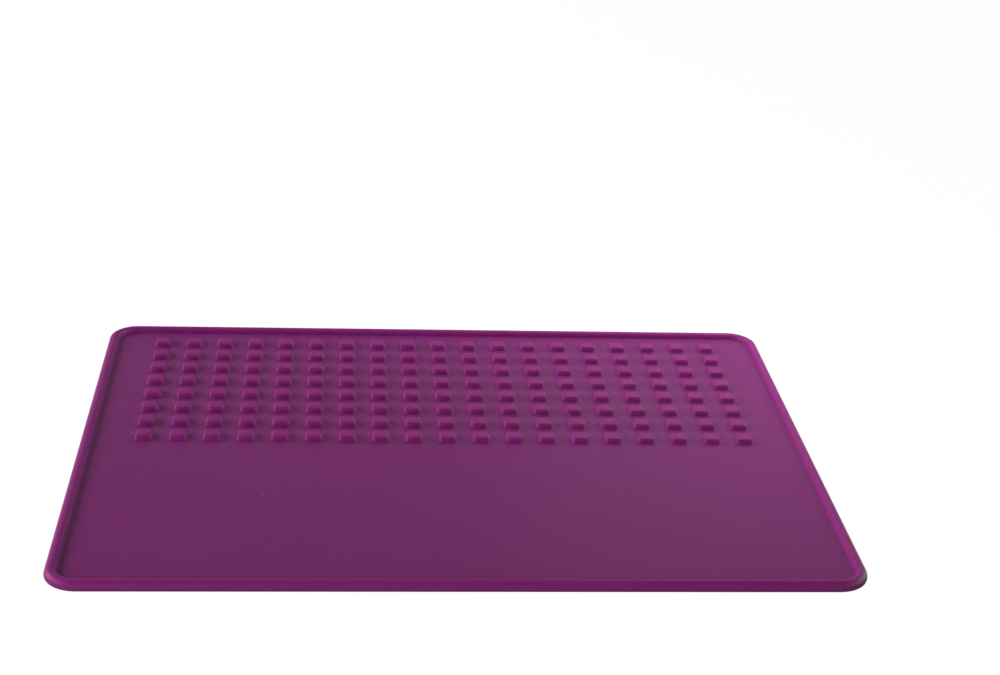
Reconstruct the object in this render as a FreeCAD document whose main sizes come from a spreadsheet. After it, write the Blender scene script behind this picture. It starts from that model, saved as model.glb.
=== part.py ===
# Silicone bench mat, moulded in one piece.
# A thin rectangular sheet lies flat on the bench, with a low rounded rim all the way round it. The
# back half of the sheet carries a square grid of raised studs, on which things stand clear of it. The
# front half is plain.
# Frame: +X to the right, +Y to the back, +Z up. The origin is under the middle of the mat, on the bench.
# Lengths are in millimetres and angles in degrees.

import FreeCAD, Part
import os
from math import pi

import Sketcher

DOC = FreeCAD.newDocument("bench_mat")
NODE = "bench_mat"

# Driving sizes: the alias of the cell, its value and what it measures.
SIZES = (
    ("mat_width", 400.0, "outside width of the mat, left to right"),
    ("mat_depth", 318.0, "outside depth of the mat, front to back"),
    ("corner_radius", 17.0, "outside radius of the corners, in plan"),
    ("sheet_thickness", 2.0, "thickness of the sheet inside the rim"),
    ("rim_height", 5.0, "height of the rim above the bench"),
    ("rim_width", 5.9, "width of the rim, from the outside to the tray"),
    ("rim_outer_round", 3.0, "round on the outside of the rim's top"),
    ("rim_inner_round", 2.0, "round on the tray side of the rim's top"),
    ("tray_root_round", 0.7, "round where the rim's inner wall meets the sheet"),
    ("foot_chamfer", 0.4, "bevel on the bottom edge"),
    ("stud_side", 9.2, "side of a stud at its foot"),
    ("stud_height", 2.7, "height of a stud above the sheet"),
    ("stud_draft", 6.0, "slope of a stud's walls"),
    ("stud_corner_chamfer", 0.8, "bevel on a stud's upright edges"),
    ("stud_top_chamfer", 0.8, "bevel on a stud's top edges"),
    ("stud_pitch", 18.5, "distance from one stud to the next, both ways"),
    ("stud_columns", 19, "studs from left to right"),
    ("stud_rows", 8, "studs from front to back"),
    ("stud_back_margin", 23.6, "from the back edge to the middle of the last row"),
)

LEAST_FLAT = 0.1  # the least flat strip that stays between two rounds of the rim


def make_sheet():
    """The spreadsheet that holds the driving sizes, one to a row."""
    sheet = DOC.addObject("Spreadsheet::Sheet", "Sizes")
    for row, (alias, value, meaning) in enumerate(SIZES, start=1):
        sheet.set(f"A{row}", alias)
        sheet.set(f"B{row}", str(value))
        sheet.set(f"C{row}", meaning)
        sheet.setAlias(f"B{row}", alias)
    DOC.recompute()
    return sheet


SHEET = make_sheet()


def size(alias):
    """The value of a driving size."""
    return float(SHEET.get(alias))


def plane_sketch(body, name, height=None):
    """A sketch parallel to the body's XY plane, at a height given as an expression."""
    sketch = body.newObject("Sketcher::SketchObject", name)
    plane = next(f for f in body.Origin.OriginFeatures if f.Role == "XY_Plane")
    sketch.AttachmentSupport = [(plane, "")]
    sketch.MapMode = "FlatFace"
    if height:
        sketch.setExpression("AttachmentOffset.Base.z", height)
    return sketch


def dimension(sketch, name, expression, kind, *where):
    """Adds a named dimension to a sketch and binds it to the driving sizes."""
    index = sketch.addConstraint(Sketcher.Constraint(kind, *where))
    sketch.renameConstraint(index, name)
    sketch.setExpression(f"Constraints.{name}", expression)


def rounded_outline(sketch, inset):
    """The mat's outline, moved inwards by an expression: four arcs, and the lines between them."""
    moved = size(inset) if inset else 0.0
    radius = size("corner_radius") - moved
    half_width = size("mat_width") / 2 - moved
    half_depth = size("mat_depth") / 2 - moved
    middles = [
        FreeCAD.Vector(across * (half_width - radius), along * (half_depth - radius), 0)
        for across, along in ((1, 1), (-1, 1), (-1, -1), (1, -1))
    ]
    up = FreeCAD.Vector(0, 0, 1)
    arcs = [
        Part.ArcOfCircle(Part.Circle(middle, up, radius), turn * pi / 2, (turn + 1) * pi / 2)
        for turn, middle in enumerate(middles)
    ]
    lines = [
        Part.LineSegment(arc.EndPoint, following.StartPoint)
        for arc, following in zip(arcs, arcs[1:] + arcs[:1])
    ]
    sketch.addGeometry(arcs + lines, False)
    start, end, middle = 1, 2, 3
    for arc in range(4):
        line, following = arc + 4, (arc + 1) % 4
        sketch.addConstraint(Sketcher.Constraint("Tangent", arc, end, line, start))
        sketch.addConstraint(Sketcher.Constraint("Tangent", line, end, following, start))
        direction = "Vertical" if arc % 2 else "Horizontal"
        sketch.addConstraint(Sketcher.Constraint(direction, line))
    for arc in range(3):
        sketch.addConstraint(Sketcher.Constraint("Equal", arc, arc + 1))
    origin = -1
    sketch.addConstraint(Sketcher.Constraint("Symmetric", 0, middle, 2, middle, origin, start))
    less = f" - Sizes.{inset}" if inset else ""
    dimension(sketch, "radius", f"Sizes.corner_radius{less}", "Radius", 0, radius)
    back, left, front, right = range(4, 8)
    width = 2 * half_width
    depth = 2 * half_depth
    dimension(sketch, "width", f"Sizes.mat_width{less * 2}", "DistanceX", left, start, right, start, width)
    dimension(sketch, "depth", f"Sizes.mat_depth{less * 2}", "DistanceY", front, start, back, start, depth)


def square(sketch, side, middle_x, middle_y):
    """A square of four lines. Its middle is given as two expressions."""
    length = size(side)
    origin, start, end = -1, 1, 2
    corners = [
        FreeCAD.Vector(across * length, along * length, 0)
        for across, along in ((0, 0), (1, 0), (1, 1), (0, 1))
    ]
    lines = [
        Part.LineSegment(corner, following)
        for corner, following in zip(corners, corners[1:] + corners[:1])
    ]
    sketch.addGeometry(lines, False)
    for line in range(4):
        sketch.addConstraint(Sketcher.Constraint("Coincident", line, end, (line + 1) % 4, start))
        direction = "Vertical" if line % 2 else "Horizontal"
        sketch.addConstraint(Sketcher.Constraint(direction, line))
    sketch.addConstraint(Sketcher.Constraint("Equal", 0, 1))
    dimension(sketch, "side", f"Sizes.{side}", "DistanceX", 0, start, 0, end, length)
    dimension(sketch, "left", f"{middle_x} - Sizes.{side} / 2", "DistanceX", origin, start, 0, start, 0)
    dimension(sketch, "front", f"{middle_y} - Sizes.{side} / 2", "DistanceY", origin, start, 0, start, 0)


def pad(body, name, sketch, length):
    """A boss on the sketch's outline. Its length is an expression."""
    boss = body.newObject("PartDesign::Pad", name)
    boss.Profile = sketch
    boss.setExpression("Length", length)
    DOC.recompute()
    return boss


def pocket(body, name, sketch, depth):
    """A pocket below the sketch's outline. Its depth is an expression."""
    cut = body.newObject("PartDesign::Pocket", name)
    cut.Profile = sketch
    cut.setExpression("Length", depth)
    DOC.recompute()
    return cut


def middle_of(edge):
    """The middle point of an edge."""
    return edge.valueAt((edge.FirstParameter + edge.LastParameter) / 2)


def level_edges(base, height, older=None):
    """The names of the base's edges at one height, but for those that an older feature has."""
    near = 1e-4
    kept = [middle_of(edge) for edge in older.Shape.Edges] if older else []
    return [
        f"Edge{number}"
        for number, edge in enumerate(base.Shape.Edges, start=1)
        if all(abs(vertex.Z - height) < near for vertex in edge.Vertexes)
        and not any(middle_of(edge).isEqual(point, near) for point in kept)
    ]


def steep_edges(base, low, high):
    """The names of the base's edges that climb from one height to another."""
    near = 1e-4
    return [
        f"Edge{number}"
        for number, edge in enumerate(base.Shape.Edges, start=1)
        if abs(edge.BoundBox.ZMin - low) < near and abs(edge.BoundBox.ZMax - high) < near
    ]


def least(*lengths):
    """An expression for the least of some lengths, each given as an expression."""
    return f"min({'; '.join(lengths)})"


def fillet(body, name, base, edges, radius):
    """Rounds some of the base's edges. The radius is an expression."""
    rounded = body.newObject("PartDesign::Fillet", name)
    rounded.Base = (base, edges)
    rounded.setExpression("Radius", radius)
    DOC.recompute()
    return rounded


def chamfer(body, name, base, edges, width):
    """Bevels some of the base's edges."""
    bevelled = body.newObject("PartDesign::Chamfer", name)
    bevelled.Base = (base, edges)
    bevelled.setExpression("Size", f"Sizes.{width}")
    DOC.recompute()
    return bevelled


def draft(body, name, base, foot, angle):
    """Slopes the walls that stand on a sketch's outline inwards, and leaves their foot in place."""
    near = 1e-4
    box = foot.Shape.BoundBox
    walls = [
        f"Face{number}"
        for number, face in enumerate(base.Shape.Faces, start=1)
        if abs(face.normalAt(0, 0).z) < near
        and box.XMin - near < face.CenterOfMass.x < box.XMax + near
        and box.YMin - near < face.CenterOfMass.y < box.YMax + near
    ]
    sloped = body.newObject("PartDesign::Draft", name)
    sloped.Base = (base, walls)
    sloped.NeutralPlane = (foot, [""])
    sloped.setExpression("Angle", f"Sizes.{angle}")
    sloped.Reversed = True
    DOC.recompute()
    return sloped


def add_sheet_and_rim(body):
    """The slab, rounded along its top and foot, and the tray sunk into it within the rim.

    The rim's rounds are as large as their sizes say, or less where its walls are too low or too thin.
    """
    rim_top, sheet_top = size("rim_height"), size("sheet_thickness")
    outline = plane_sketch(body, "mat_outline")
    rounded_outline(outline, None)
    slab = pad(body, "slab", outline, "Sizes.rim_height")
    outer_round = least(
        "Sizes.rim_outer_round",
        f"Sizes.rim_height - Sizes.foot_chamfer - {LEAST_FLAT}",
        f"Sizes.rim_width - 2 * {LEAST_FLAT}",
    )
    outer = fillet(body, "rim_outer_edge", slab, level_edges(slab, rim_top), outer_round)
    foot = chamfer(body, "foot_edge", outer, level_edges(outer, 0.0), "foot_chamfer")
    tray_outline = plane_sketch(body, "tray_outline", "Sizes.rim_height")
    rounded_outline(tray_outline, "rim_width")
    tray = pocket(body, "tray", tray_outline, "Sizes.rim_height - Sizes.sheet_thickness")
    root = fillet(body, "tray_root", tray, level_edges(tray, sheet_top), "Sizes.tray_root_round")
    tray_lip = level_edges(root, rim_top, older=foot)
    inner_round = least(
        "Sizes.rim_inner_round",
        f"Sizes.rim_height - Sizes.sheet_thickness - Sizes.tray_root_round - {LEAST_FLAT}",
        f"Sizes.rim_width - {outer_round} - {LEAST_FLAT}",
    )
    fillet(body, "rim_inner_edge", root, tray_lip, inner_round)


def pattern(sketch, name, direction, count):
    """A row of copies along one of a sketch's axes, at the studs' pitch."""
    run = DOC.addObject("PartDesign::LinearPattern", name)
    run.Direction = (sketch, [direction])
    run.Mode = "Spacing"
    run.setExpression("Offset", "Sizes.stud_pitch")
    run.setExpression("Occurrences", f"Sizes.{count}")
    return run


def add_studs(body):
    """The grid of studs: one stud, and its copies in columns and rows."""
    foot, top = size("sheet_thickness"), size("sheet_thickness") + size("stud_height")
    outline = plane_sketch(body, "stud_outline", "Sizes.sheet_thickness")
    square(
        outline,
        "stud_side",
        "-(Sizes.stud_columns - 1) / 2 * Sizes.stud_pitch",
        "Sizes.mat_depth / 2 - Sizes.stud_back_margin - (Sizes.stud_rows - 1) * Sizes.stud_pitch",
    )
    block = pad(body, "stud", outline, "Sizes.stud_height")
    corners = steep_edges(block, foot, top)
    column = chamfer(body, "stud_corners", block, corners, "stud_corner_chamfer")
    stud = draft(body, "stud_walls", column, outline, "stud_draft")
    crown = chamfer(body, "stud_crown", stud, level_edges(stud, top), "stud_top_chamfer")
    crown.SupportTransform = True
    columns = pattern(outline, "stud_columns_run", "H_Axis", "stud_columns")
    rows = pattern(outline, "stud_rows_run", "V_Axis", "stud_rows")
    grid = DOC.addObject("PartDesign::MultiTransform", "stud_grid")
    grid.Transformations = [columns, rows]
    grid.Originals = [crown]
    body.addObject(grid)
    body.Tip = grid
    DOC.recompute()


def make_mat():
    """The whole mat, as one body."""
    body = DOC.addObject("PartDesign::Body", NODE)
    body.Label = NODE
    body.Placement = FreeCAD.Placement()
    add_sheet_and_rim(body)
    add_studs(body)
    return body


def check(obj):
    """Stops the build if a feature failed or the sub-part isn't one valid solid."""
    for item in DOC.Objects:
        if "Invalid" in item.State or "Error" in item.State:
            raise RuntimeError(f"{item.Name} failed: {item.State}")
    shape = obj.Shape
    if shape.isNull() or not shape.isValid() or len(shape.Solids) != 1:
        raise RuntimeError(f"{obj.Label} is not one valid solid")


def main():
    mat = make_mat()
    check(mat)
    os.makedirs("parts", exist_ok=True)
    mat.Shape.exportStep(os.path.join("parts", f"{mat.Label}.step"))
    print(f"{mat.Label}: {len(mat.Shape.Faces)} faces, {mat.Shape.Volume / 1000:.1f} cm3")


main()
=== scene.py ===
# Silicone bench mat: the moulded mat with its rim and studs, its finish, and the studio round it.
# Frame: +X to the right, +Y to the back, +Z up, in metres, with the origin under the mat's middle.

from math import atan2, cos, hypot, pi, radians, sin, tan

import bmesh
import bpy
from bpy.props import FloatProperty, FloatVectorProperty, IntProperty, PointerProperty
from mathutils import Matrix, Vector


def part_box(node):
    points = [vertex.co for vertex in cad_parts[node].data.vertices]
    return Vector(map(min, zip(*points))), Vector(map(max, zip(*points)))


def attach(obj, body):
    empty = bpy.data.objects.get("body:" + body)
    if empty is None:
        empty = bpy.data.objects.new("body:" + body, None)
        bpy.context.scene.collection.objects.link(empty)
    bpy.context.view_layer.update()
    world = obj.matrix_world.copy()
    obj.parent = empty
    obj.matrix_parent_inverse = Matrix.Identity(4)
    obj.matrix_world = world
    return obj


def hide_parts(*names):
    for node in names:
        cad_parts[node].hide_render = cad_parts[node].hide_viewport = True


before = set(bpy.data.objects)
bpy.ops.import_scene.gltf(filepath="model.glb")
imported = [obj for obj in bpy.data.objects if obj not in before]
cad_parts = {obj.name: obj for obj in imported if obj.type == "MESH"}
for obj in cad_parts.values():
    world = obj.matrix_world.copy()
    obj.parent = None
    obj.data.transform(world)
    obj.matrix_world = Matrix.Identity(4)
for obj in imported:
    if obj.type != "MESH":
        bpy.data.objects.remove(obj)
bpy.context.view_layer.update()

NODE = "bench_mat"
LOW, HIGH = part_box(NODE)

bl_info = {
    "name": "Silicone Bench Mat",
    "version": (1, 0, 0),
    "blender": (4, 5, 0),
    "location": "View3D > Sidebar > Bench Mat",
    "description": "Makes a studded silicone bench mat and a plain studio for it",
    "category": "Add Mesh",
}

WHITE = (1.0, 1.0, 1.0, 1.0)
BLACK = (0.0, 0.0, 0.0, 1.0)
CORNERS = ((1, 1), (-1, 1), (-1, -1), (1, -1))  # anticlockwise, from the back right

# Shape. The steps are the facets of each round.
FOOT_STEPS, OUTER_STEPS, INNER_STEPS, ROOT_STEPS = 3, 8, 5, 4
STUD_CORNER_STEPS, STUD_FOOT_STEPS, STUD_TOP_STEPS = 2, 2, 3
STRIP_END = 3  # a round has a narrow flat strip beside it, which ends this many radii from the wall
LEAST_CORNER = 0.25  # least round of a stud's upright corner, as a share of its top round
MERGE_DISTANCE = 0.00002

# Silicone. A noise is its scale, detail and roughness.
SILICONE_IOR = 1.43
SPECULAR_LEVEL = 0.35
# Painted light and shade: over these shares of the climb the colour goes from the darker sheet
# colour to the lighter raised colour.
PAINTED_SHADE_UNTIL, PAINTED_LIGHT_FROM = 0.1, 0.6  # shares of the climb from the sheet to the top of the rim
GRAIN_DETAIL = 3.0
CLOUD_NOISE = (14.0, 4.0, 0.6)
SMEAR_NOISE = (60.0, 3.0, 0.5)
NOISE_MIDDLE = 0.5
SMEAR_ROUGHNESS = 0.10  # how much the smears change the roughness
DUST_ROUGHNESS = 0.25  # how much rougher a speck is

# Specks of dust, as the size of a cell, the size of a speck and the share of cells that stay empty.
# A speck's radius is its size times the sum of the base and its cell's number, from 0 to 1.
COARSE_SPECKS = (0.009, 0.0004, 0.55)
FINE_SPECKS = (0.0045, 0.00022, 0.4)
SPECK_BASE = 0.3

# Studio. A lamp is where it stands and the side of its square. Its power is a setting.
LAMPS = {
    "left": ((-1.50, 0.50, 0.60), 0.60),
    "right": ((0.40, 0.10, 0.20), 0.25),
    "back": ((0.20, 0.34, 0.24), 0.25),
    "front": ((-0.55, -1.25, 0.38), 0.60),
}
SENSOR_WIDTH = 36.0  # millimetres
FLOOR_HALF_SIDE = 4.0
FLOOR_LEVEL = -0.0001
FLOOR_MATT = (0.5, 0.5, 0.5, 1.0)
BACKDROP_SHARE = 0.84  # how much of the floor the camera sees as plain light
BACKDROP_GLOW = 1.15  # the strength of that light
SIDE_FROM, SIDE_FULL = 0.45, 0.95  # how far round the pale sides start and are full, from 0 to 1


def length(name, description, default):
    """A property that holds a length in metres."""
    return FloatProperty(
        name=name,
        description=description,
        default=default,
        min=0.0,
        subtype="DISTANCE",
        unit="LENGTH",
    )


def colour(name, description, default):
    """A property that holds a linear colour."""
    return FloatVectorProperty(
        name=name,
        description=description,
        default=default,
        size=3,
        min=0.0,
        max=1.0,
        subtype="COLOR",
    )


def share(name, description, default):
    """A property that holds a share from nothing to all."""
    return FloatProperty(
        name=name, description=description, default=default, min=0.0, max=1.0, subtype="FACTOR"
    )


def power(name, description, default):
    """A property that holds a lamp's power in watts."""
    return FloatProperty(
        name=name, description=description, default=default, min=0.0, unit="POWER"
    )


def strength(name, description, default):
    """A property that holds the strength of a background."""
    return FloatProperty(name=name, description=description, default=default, min=0.0)


class SheetSizes(bpy.types.PropertyGroup):
    """Sizes of the sheet and of the rim round it."""

    width: length("Width", "Outside width of the mat", HIGH[0] - LOW[0])
    depth: length("Depth", "Outside depth of the mat, front to back", HIGH[1] - LOW[1])
    corner_radius: length("Corner Radius", "Outside radius of the corners, in plan", 0.017)
    thickness: length("Sheet Thickness", "Thickness of the sheet inside the rim", 0.002)
    rim_height: length("Rim Height", "Height of the rim above the bench", HIGH[2])
    rim_width: length("Rim Width", "From the outside of the rim to the tray", 0.0059)
    outer_round: length("Outer Round", "Round on the outside of the rim's top", 0.003)
    inner_round: length("Inner Round", "Round on the tray side of the rim's top", 0.002)
    root_round: length("Root Round", "Round where the rim's inner wall meets the sheet", 0.0007)
    foot_round: length("Foot Round", "Round on the bottom edge", 0.0004)
    crown: length("Crown", "How much the middle of the rim's top stands above its edges", 0.00012)
    seam_height: length("Seam Height", "Height of the mould's parting line above the bench", 0.0012)
    seam_width: length("Seam Width", "From the middle of the parting line to its edge", 0.0004)
    seam_depth: length("Seam Depth", "How far the parting line stands out", 0.00018)
    corner_steps: IntProperty(
        name="Corner Steps", description="Facets round each corner", default=16, min=2
    )


class StudSizes(bpy.types.PropertyGroup):
    """Sizes of a stud and of the grid that the studs stand in."""

    columns: IntProperty(name="Columns", description="Studs from left to right", default=19, min=1)
    rows: IntProperty(name="Rows", description="Studs from front to back", default=8, min=1)
    pitch: length("Pitch", "Distance from one stud to the next, both ways", 0.0185)
    back_margin: length("Back Margin", "From the back edge to the middle of the last row", 0.0236)
    side: length("Side", "Side of a stud at its foot", 0.0092)
    height: length("Height", "Height of a stud above the sheet", 0.0027)
    draft: FloatProperty(
        name="Draft", description="Slope of a stud's walls", default=radians(6), subtype="ANGLE"
    )
    corner_round: length("Corner Round", "Round on a stud's upright corners, at its foot", 0.0013)
    top_round: length("Top Round", "Round on a stud's top edges", 0.0012)
    foot_fillet: length("Foot Fillet", "Hollow round where a stud meets the sheet", 0.0004)


class SiliconeFinish(bpy.types.PropertyGroup):
    """Colours and surface of the moulded silicone."""

    # Both colours are the one silicone: the sheet's darker colour is painted shade, and the lighter
    # colour of the raised rim and studs is painted light.
    sheet: colour("Sheet Colour", "Colour of the thin sheet", (0.158, 0.0152, 0.120))
    raised_lit: colour("Raised Colour", "Colour of the thick rim and studs", (0.202, 0.0140, 0.143))
    clouding: share("Clouding", "How much the pigment varies from place to place", 0.10)
    dust: colour("Dust Colour", "Colour of the fine dust that clings to it", (0.55, 0.40, 0.52))
    dust_amount: share("Dust Amount", "How much a speck of dust covers", 0.30)
    roughness: share("Roughness", "Roughness of the satin surface", 0.36)
    grain_size: length("Grain Size", "Size of the grain that the mould leaves", 0.0006)
    grain_depth: length("Grain Depth", "Depth of that grain", 0.00002)


class StudioSettings(bpy.types.PropertyGroup):
    """The camera and the light round the mat."""

    camera_place: FloatVectorProperty(
        name="Camera Place",
        description="Where the camera stands",
        default=(-0.06239, -0.97217, 0.47312),
        subtype="TRANSLATION",
        unit="LENGTH",
    )
    camera_turn: FloatVectorProperty(
        name="Camera Turn",
        description="How the camera is turned",
        default=(radians(67.317), radians(-2.474), radians(-4.158)),
        subtype="EULER",
    )
    camera_lens: FloatProperty(
        name="Lens", description="Focal length in millimetres", default=70.468, unit="CAMERA"
    )
    left_power: power("Left Power", "Power of the lamp on the left", 33.0)
    right_power: power("Right Power", "Power of the near lamp on the right", 0.95)
    back_power: power("Back Power", "Power of the near lamp behind", 1.2)
    front_power: power("Front Power", "Power of the lamp in front", 13.5)
    fill: strength("Fill", "Strength of the light from all round", 0.03)
    sheen: strength("Sheen", "Strength of the surroundings that the silicone mirrors", 0.24)
    side_sheen: strength("Side Sheen", "How much is added to the sheen at the sides", 2.2)


# Outlines. A ring is the rounded outline of a square or rectangle at one height.


def ring(half_width, half_depth, radius, height, steps):
    """Points of a rounded rectangle, anticlockwise from its right side."""
    points = []
    for turn, (across, along) in enumerate(CORNERS):
        for step in range(steps + 1):
            angle = (turn + step / steps) * pi / 2
            x = across * (half_width - radius) + radius * cos(angle)
            y = along * (half_depth - radius) + radius * sin(angle)
            points.append((x, y, height))
    return points


def arc(inset, height, radius, start, end, steps):
    """Points of an arc in the section, as (inset, height). Angle 0 points to the outside."""
    points = []
    for step in range(steps + 1):
        angle = start + (end - start) * step / steps
        points.append((inset - radius * cos(angle), height + radius * sin(angle)))
    return points


def rim_section(sheet):
    """The rim's section from the underside, over the top, to the sheet, as (inset, height)."""
    quarter = pi / 2
    face, width = sheet.seam_depth, sheet.rim_width
    foot, outer = sheet.foot_round, sheet.outer_round
    inner, root = sheet.inner_round, sheet.root_round
    shoulder = sheet.rim_height - sheet.crown
    seam_low = sheet.seam_height - sheet.seam_width
    seam_high = sheet.seam_height + sheet.seam_width
    section = [(face + STRIP_END * foot, 0.0)]
    section += arc(face + foot, foot, foot, -quarter, 0.0, FOOT_STEPS)
    section += [(face, seam_low), (0.0, sheet.seam_height), (face, seam_high)]
    section += arc(face + outer, shoulder - outer, outer, 0.0, quarter, OUTER_STEPS)
    section += [((face + outer + width - inner) / 2, sheet.rim_height)]
    section += arc(width - inner, shoulder - inner, inner, quarter, 2 * quarter, INNER_STEPS)
    section += arc(width + root, sheet.thickness + root, root, 0.0, -quarter, ROOT_STEPS)
    section += [(width + STRIP_END * root, sheet.thickness)]
    return section


def stud_section(studs):
    """A stud's section from the sheet to its top, as (inset from the foot's side, height)."""
    quarter = pi / 2
    fillet, top = studs.foot_fillet, studs.top_round
    section = arc(-fillet, fillet, -fillet, quarter, 0.0, STUD_FOOT_STEPS)
    shoulder = studs.height - top * (1 - sin(studs.draft))
    lean = shoulder * tan(studs.draft)
    inset = lean + top * cos(studs.draft)
    section += arc(inset, studs.height - top, top, studs.draft, quarter, STUD_TOP_STEPS)
    return section


# Meshes. The mat is a shell, which is the sheet and the rim, and a cell for each stud.


def add_points(mesh, points):
    """Adds points to the mesh and returns their vertices."""
    return [mesh.verts.new(point) for point in points]


def pairs(loop):
    """Each vertex of a closed loop with the next."""
    return zip(loop, loop[1:] + loop[:1])


def bridge(mesh, loops):
    """Quads between rings of the same number of points."""
    for lower, upper in zip(loops, loops[1:]):
        for (start, end), (above, after) in zip(pairs(lower), pairs(upper)):
            mesh.faces.new((start, end, after, above))


def grid_field(sheet, studs):
    """Half the width and depth of the field that the cells fill, and the middle of its depth."""
    half_width = studs.columns * studs.pitch / 2
    half_depth = studs.rows * studs.pitch / 2
    middle = sheet.depth / 2 - studs.back_margin + studs.pitch / 2 - half_depth
    return half_width, half_depth, middle


def field_outline(sheet, studs):
    """The corners of the cells along the field's edge, anticlockwise from its front left."""
    half_width, half_depth, middle = grid_field(sheet, studs)
    front = [(column * studs.pitch - half_width, -half_depth) for column in range(studs.columns)]
    right = [(half_width, row * studs.pitch - half_depth) for row in range(studs.rows)]
    opposite = [(-x, -y) for x, y in front + right]
    return [(x, middle + y, sheet.thickness) for x, y in front + right + opposite]


def shell_mesh(sheet, studs):
    """The sheet and the rim, with the field of the grid left open."""
    mesh = bmesh.new()
    loops = []
    for inset, height in rim_section(sheet):
        half_width, half_depth = sheet.width / 2 - inset, sheet.depth / 2 - inset
        radius = sheet.corner_radius - inset
        points = ring(half_width, half_depth, radius, height, sheet.corner_steps)
        loops.append(add_points(mesh, points))
    bridge(mesh, loops)
    mesh.faces.new(reversed(loops[0]))
    hole = add_points(mesh, field_outline(sheet, studs))
    border = [mesh.edges.new(pair) for pair in pairs(hole)]
    border += [mesh.edges.get(pair) for pair in pairs(loops[-1])]
    bmesh.ops.triangle_fill(mesh, use_beauty=True, use_dissolve=False, edges=border)
    return mesh


def cell_mesh(sheet, studs):
    """One cell of the grid: a stud and the square of sheet round it."""
    mesh = bmesh.new()
    steps = STUD_CORNER_STEPS
    least_radius = studs.top_round * LEAST_CORNER
    loops = []
    for inset, height in stud_section(studs):
        half = studs.side / 2 - inset
        radius = max(studs.corner_round - inset, least_radius)
        loops.append(add_points(mesh, ring(half, half, radius, sheet.thickness + height, steps)))
    bridge(mesh, loops)
    mesh.faces.new(loops[-1])
    half = studs.pitch / 2
    cell = add_points(mesh, [(x * half, y * half, sheet.thickness) for x, y in CORNERS])
    foot = loops[0]
    for side, pair in enumerate(pairs(cell)):
        first = side * (steps + 1) + steps // 2
        inner = [foot[index % len(foot)] for index in range(first, first + steps + 2)]
        mesh.faces.new([*pair, *reversed(inner)])
    return mesh


def finished_object(name, mesh):
    """An object of a bmesh, with its faces outwards and shaded smooth."""
    bmesh.ops.recalc_face_normals(mesh, faces=mesh.faces)
    data = bpy.data.meshes.new(name)
    mesh.to_mesh(data)
    mesh.free()
    data.shade_smooth()
    obj = bpy.data.objects.new(name, data)
    bpy.context.scene.collection.objects.link(obj)
    return obj


# Node trees, of the grid, the materials and the world.


class Signal:
    """An output of a node. Python's operators on it add Math nodes."""

    def __init__(self, nodes, socket):
        self.nodes = nodes
        self.socket = socket

    def _maths(self, operation, first, second):
        return self.nodes.add("ShaderNodeMath", {"operation": operation}, {0: first, 1: second})

    def __add__(self, other):
        return self._maths("ADD", self, other)

    def __radd__(self, other):
        return self._maths("ADD", other, self)

    def __sub__(self, other):
        return self._maths("SUBTRACT", self, other)

    def __rsub__(self, other):
        return self._maths("SUBTRACT", other, self)

    def __mul__(self, other):
        return self._maths("MULTIPLY", self, other)

    def __rmul__(self, other):
        return self._maths("MULTIPLY", other, self)

    def __lt__(self, other):
        return self._maths("LESS_THAN", self, other)

    def __gt__(self, other):
        return self._maths("GREATER_THAN", self, other)


class Nodes:
    """A node tree under construction."""

    def __init__(self, tree):
        self.tree = tree

    def add(self, kind, settings, sockets, output=0):
        """Adds a node, with its settings first, and returns one of its outputs."""
        node = self.tree.nodes.new(kind)
        for name, value in settings.items():
            setattr(node, name, value)
        for name, value in sockets.items():
            self.feed(node.inputs[name], value)
        return Signal(self, node.outputs[output]) if len(node.outputs) else None

    def feed(self, entry, value):
        """Links a signal to a node's input, or gives the input a plain value."""
        if isinstance(value, Signal):
            self.tree.links.new(value.socket, entry)
        else:
            entry.default_value = value

    def blend(self, share_of_second, first, second):
        """A mix of two colours, as values or signals. They go in at 6 and 7, and come out at 2."""
        sockets = {0: share_of_second, 6: first, 7: second}
        return self.add("ShaderNodeMix", {"data_type": "RGBA"}, sockets, 2)

    def smooth_step(self, value, start, end):
        """A value's smooth climb from 0 at the start to 1 at the end."""
        sockets = {"Value": value, "From Min": start, "From Max": end}
        return self.add("ShaderNodeMapRange", {"interpolation_type": "SMOOTHSTEP"}, sockets)


def shading(owner):
    """The node tree of a material or world, emptied."""
    owner.use_nodes = True
    owner.node_tree.nodes.clear()
    return Nodes(owner.node_tree)


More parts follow.
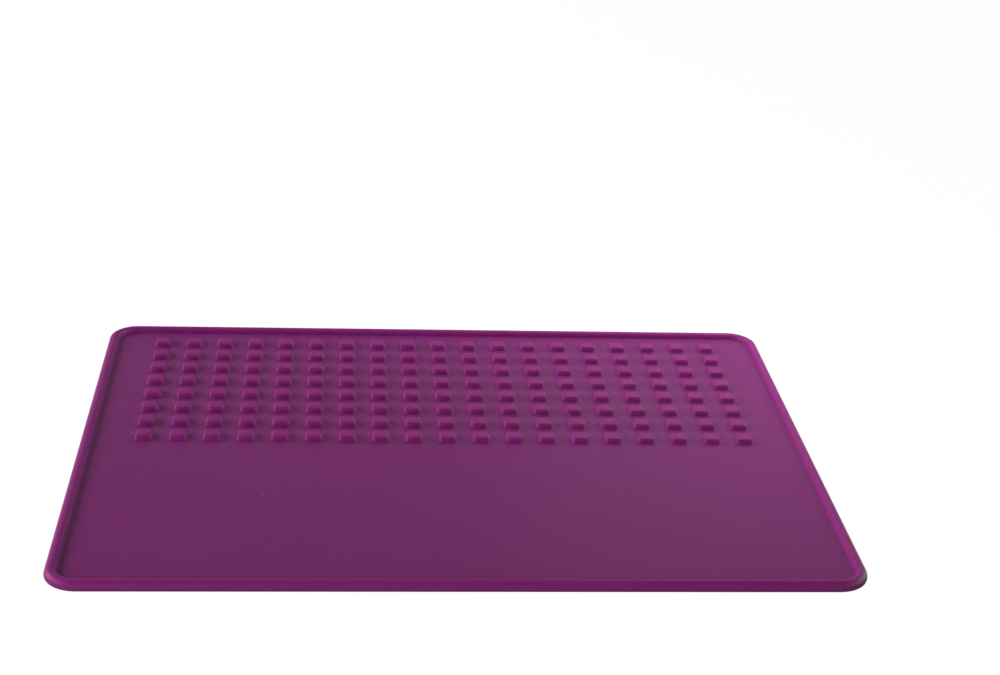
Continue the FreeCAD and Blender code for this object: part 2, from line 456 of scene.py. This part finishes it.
def grid_tree():
    """The tree that repeats one cell in columns and rows and joins it to the sheet and rim.

    The identifiers of its inputs come with it.
    """
    tree = bpy.data.node_groups.new("Stud Grid", "GeometryNodeTree")
    nodes = Nodes(tree)
    kinds = {
        "Cell": "Geometry",
        "Sheet and Rim": "Object",
        "Columns": "Int",
        "Rows": "Int",
        "Pitch": "Float",
        "Middle": "Vector",
        "Finish": "Material",
    }
    inputs = {}
    for name, kind in kinds.items():
        kind_name = f"NodeSocket{kind}"
        socket = tree.interface.new_socket(name, in_out="INPUT", socket_type=kind_name)
        inputs[name] = socket.identifier
    tree.interface.new_socket("Mat", in_out="OUTPUT", socket_type="NodeSocketGeometry")
    entry = tree.nodes.new("NodeGroupInput")
    given = {name: Signal(nodes, entry.outputs[name]) for name in kinds}

    def span(count):
        """The distance from the first stud to the last."""
        return (given[count] - 1.0) * given["Pitch"]

    points = nodes.add(
        "GeometryNodeMeshGrid",
        {},
        {
            "Size X": span("Columns"),
            "Size Y": span("Rows"),
            "Vertices X": given["Columns"],
            "Vertices Y": given["Rows"],
        },
    )
    placed = nodes.add(
        "GeometryNodeSetPosition", {}, {"Geometry": points, "Offset": given["Middle"]}
    )
    cells = nodes.add(
        "GeometryNodeInstanceOnPoints", {}, {"Points": placed, "Instance": given["Cell"]}
    )
    real = nodes.add("GeometryNodeRealizeInstances", {}, {"Geometry": cells})
    shell = nodes.add(
        "GeometryNodeObjectInfo", {}, {"Object": given["Sheet and Rim"]}, "Geometry"
    )
    join = tree.nodes.new("GeometryNodeJoinGeometry")
    for geometry in (real, shell):
        nodes.feed(join.inputs[0], geometry)
    joined = Signal(nodes, join.outputs[0])
    whole = nodes.add(
        "GeometryNodeMergeByDistance", {}, {"Geometry": joined, "Distance": MERGE_DISTANCE}
    )
    plain = nodes.add("GeometryNodeRealizeInstances", {}, {"Geometry": whole})
    finished = nodes.add(
        "GeometryNodeSetMaterial", {}, {"Geometry": plain, "Material": given["Finish"]}
    )
    nodes.add("NodeGroupOutput", {}, {"Mat": finished})
    return tree, inputs


def silicone(finish, sheet_top, raised_top):
    """Satin silicone with the mould's fine grain and a little dust. Its colour holds painted light
    and shade: lighter on the raised rim and studs, darker on the sunken sheet.
    """
    material = bpy.data.materials.new("purple_silicone")
    nodes = shading(material)
    place = nodes.add("ShaderNodeTexCoord", {}, {}, "Object")

    def noise(scale, detail, roughness=0.5):
        """Soft noise from 0 to 1."""
        sockets = {"Vector": place, "Scale": scale, "Detail": detail, "Roughness": roughness}
        return nodes.add("ShaderNodeTexNoise", {}, sockets)

    def specks(spacing, size, empty):
        """Small dots, one to a cell, on some of the cells."""
        sockets = {"Vector": place, "Scale": 1 / spacing}
        far = nodes.add("ShaderNodeTexVoronoi", {}, sockets, "Distance")
        cell = nodes.add("ShaderNodeTexVoronoi", {}, sockets, "Color")
        number = nodes.add("ShaderNodeSeparateColor", {}, {"Color": cell})
        return (far < size / spacing * (number + SPECK_BASE)) * (number > empty)

    grain = noise(1 / finish.grain_size, GRAIN_DETAIL)
    cloud = noise(*CLOUD_NOISE)
    smear = noise(*SMEAR_NOISE)
    dust = specks(*COARSE_SPECKS) + specks(*FINE_SPECKS)
    height = nodes.add("ShaderNodeSeparateXYZ", {}, {"Vector": place}, "Z")
    # Painted light and shade: a mask that climbs with height, from the darker sheet colour on the
    # sunken sheet to the lighter raised colour on the rim and studs.
    climb = raised_top - sheet_top
    painted_shade_until = sheet_top + climb * PAINTED_SHADE_UNTIL
    painted_light_from = sheet_top + climb * PAINTED_LIGHT_FROM
    painted_light_mask = nodes.smooth_step(height, painted_shade_until, painted_light_from)
    even = nodes.blend(painted_light_mask, (*finish.sheet, 1.0), (*finish.raised_lit, 1.0))
    body = nodes.blend(cloud * finish.clouding, even, BLACK)
    shown = nodes.blend(dust * finish.dust_amount, body, (*finish.dust, 1.0))
    smeared = finish.roughness + (smear - NOISE_MIDDLE) * SMEAR_ROUGHNESS
    bump = nodes.add(
        "ShaderNodeBump",
        {},
        {"Strength": 1.0, "Distance": finish.grain_depth, "Height": grain},
    )
    surface = nodes.add(
        "ShaderNodeBsdfPrincipled",
        {},
        {
            "Base Color": shown,
            "Roughness": smeared + dust * DUST_ROUGHNESS,
            "Normal": bump,
            "IOR": SILICONE_IOR,
            "Specular IOR Level": SPECULAR_LEVEL,
        },
    )
    nodes.add("ShaderNodeOutputMaterial", {}, {"Surface": surface})
    return material


# The studio.


def floor_material():
    """A surface that the camera sees as a plain white backdrop with soft shadows on it."""
    material = bpy.data.materials.new("pale_floor")
    nodes = shading(material)
    camera = nodes.add("ShaderNodeLightPath", {}, {}, "Is Camera Ray")
    matt = nodes.add("ShaderNodeBsdfDiffuse", {}, {"Color": FLOOR_MATT})
    glow = nodes.add("ShaderNodeEmission", {}, {"Color": WHITE, "Strength": BACKDROP_GLOW})
    seen = nodes.add("ShaderNodeMixShader", {}, {0: camera * BACKDROP_SHARE, 1: matt, 2: glow})
    nodes.add("ShaderNodeOutputMaterial", {}, {"Surface": seen})
    return material


def add_floor():
    """A wide pale floor, a hair below the mat."""
    mesh = bmesh.new()
    half = FLOOR_HALF_SIDE
    mesh.faces.new(add_points(mesh, [(x * half, y * half, FLOOR_LEVEL) for x, y in CORNERS]))
    floor = finished_object("floor", mesh)
    floor.data.materials.append(floor_material())


def add_world(scene, studio):
    """Even light from all round, white to the camera. The silicone also mirrors two pale sides."""
    scene.world = bpy.data.worlds.new("studio_world")
    nodes = shading(scene.world)
    camera = nodes.add("ShaderNodeLightPath", {}, {}, "Is Camera Ray")
    glossy = nodes.add("ShaderNodeLightPath", {}, {}, "Is Glossy Ray")
    direction = nodes.add("ShaderNodeTexCoord", {}, {}, "Generated")
    across = nodes.add("ShaderNodeSeparateXYZ", {}, {"Vector": direction}, "X")
    sideways = nodes.add("ShaderNodeMath", {"operation": "ABSOLUTE"}, {0: across})
    side = nodes.smooth_step(sideways, SIDE_FROM, SIDE_FULL)
    mirrored = studio.sheen + side * studio.side_sheen
    unseen = studio.fill * (1 - glossy) + mirrored * glossy
    light = unseen * (1 - camera) + camera
    back = nodes.add("ShaderNodeBackground", {}, {"Color": WHITE, "Strength": light})
    nodes.add("ShaderNodeOutputWorld", {}, {"Surface": back})


def add_lamp(scene, name, place, side, watts):
    """A square soft lamp, turned to the middle of the mat. It leaves no glare on the silicone."""
    data = bpy.data.lights.new(name, "AREA")
    data.shape = "SQUARE"
    data.size = side
    data.energy = watts
    lamp = bpy.data.objects.new(name, data)
    lamp.location = place
    lamp.visible_camera = False
    lamp.visible_glossy = False
    x, y, z = place
    lamp.rotation_euler = (atan2(hypot(x, y), z), 0.0, atan2(y, x) + pi / 2)
    scene.collection.objects.link(lamp)


def add_camera(scene, studio):
    """The camera that the scene is rendered with."""
    camera = bpy.data.objects.new("camera", bpy.data.cameras.new("camera"))
    camera.location = studio.camera_place
    camera.rotation_euler = studio.camera_turn
    camera.data.lens = studio.camera_lens
    camera.data.sensor_width = SENSOR_WIDTH
    scene.collection.objects.link(camera)
    scene.camera = camera


# The add-on.


class BENCHMAT_OT_add_mat(bpy.types.Operator):
    """Add the moulded mat: the sheet, the rim round it and the grid of studs"""

    bl_idname = "bench_mat.add_mat"
    bl_label = "Add Mat"

    def execute(self, context):
        settings = context.scene.bench_mat
        sheet, studs = settings.sheet, settings.studs
        shell = finished_object("sheet_and_rim", shell_mesh(sheet, studs))
        cell = finished_object("stud_cell", cell_mesh(sheet, studs))
        middle = grid_field(sheet, studs)[2]
        tree, inputs = grid_tree()
        modifier = cell.modifiers.new("Stud Grid", "NODES")
        modifier.node_group = tree
        values = {
            "Sheet and Rim": shell,
            "Columns": studs.columns,
            "Rows": studs.rows,
            "Pitch": studs.pitch,
            "Middle": (0.0, middle, 0.0),
            "Finish": silicone(settings.finish, sheet.thickness, sheet.rim_height),
        }
        for name, value in values.items():
            modifier[inputs[name]] = value
        context.view_layer.update()
        evaluated = cell.evaluated_get(context.evaluated_depsgraph_get())
        data = bpy.data.meshes.new_from_object(evaluated)
        data.name = "moulded_mat"
        data.shade_smooth()
        for helper in (cell, shell):
            bpy.data.objects.remove(helper)
        mat = bpy.data.objects.new("moulded_mat", data)
        context.scene.collection.objects.link(mat)
        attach(mat, "root")
        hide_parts(NODE)
        return {"FINISHED"}


class BENCHMAT_OT_add_studio(bpy.types.Operator):
    """Add the pale floor, the soft light and the camera"""

    bl_idname = "bench_mat.add_studio"
    bl_label = "Add Studio"

    def execute(self, context):
        scene = context.scene
        studio = scene.bench_mat.studio
        scene.view_settings.view_transform = "Standard"
        add_floor()
        add_world(scene, studio)
        for name, (place, side) in LAMPS.items():
            add_lamp(scene, f"{name}_lamp", place, side, getattr(studio, f"{name}_power"))
        add_camera(scene, studio)
        return {"FINISHED"}


class BENCHMAT_PT_panel(bpy.types.Panel):
    """The mat's sizes, its finish and the studio"""

    bl_idname = "BENCHMAT_PT_panel"
    bl_label = "Bench Mat"
    bl_space_type = "VIEW_3D"
    bl_region_type = "UI"
    bl_category = "Bench Mat"

    def draw(self, context):
        settings = context.scene.bench_mat
        for title, group in (
            ("Sheet and Rim", settings.sheet),
            ("Studs", settings.studs),
            ("Finish", settings.finish),
            ("Studio", settings.studio),
        ):
            box = self.layout.box()
            box.label(text=title)
            for name in group.bl_rna.properties.keys():
                if name not in {"rna_type", "name"}:
                    box.prop(group, name)
        self.layout.operator(BENCHMAT_OT_add_mat.bl_idname)
        self.layout.operator(BENCHMAT_OT_add_studio.bl_idname)


class BenchMatSettings(bpy.types.PropertyGroup):
    """Everything that the panel shows."""

    sheet: PointerProperty(type=SheetSizes)
    studs: PointerProperty(type=StudSizes)
    finish: PointerProperty(type=SiliconeFinish)
    studio: PointerProperty(type=StudioSettings)


CLASSES = (
    SheetSizes,
    StudSizes,
    SiliconeFinish,
    StudioSettings,
    BenchMatSettings,
    BENCHMAT_OT_add_mat,
    BENCHMAT_OT_add_studio,
    BENCHMAT_PT_panel,
)


def register():
    for cls in CLASSES:
        bpy.utils.register_class(cls)
    bpy.types.Scene.bench_mat = PointerProperty(type=BenchMatSettings)


def unregister():
    del bpy.types.Scene.bench_mat
    for cls in reversed(CLASSES):
        bpy.utils.unregister_class(cls)


def main():
    register()
    bpy.ops.bench_mat.add_studio()
    bpy.ops.bench_mat.add_mat()


if __name__ == "__main__":
    main()
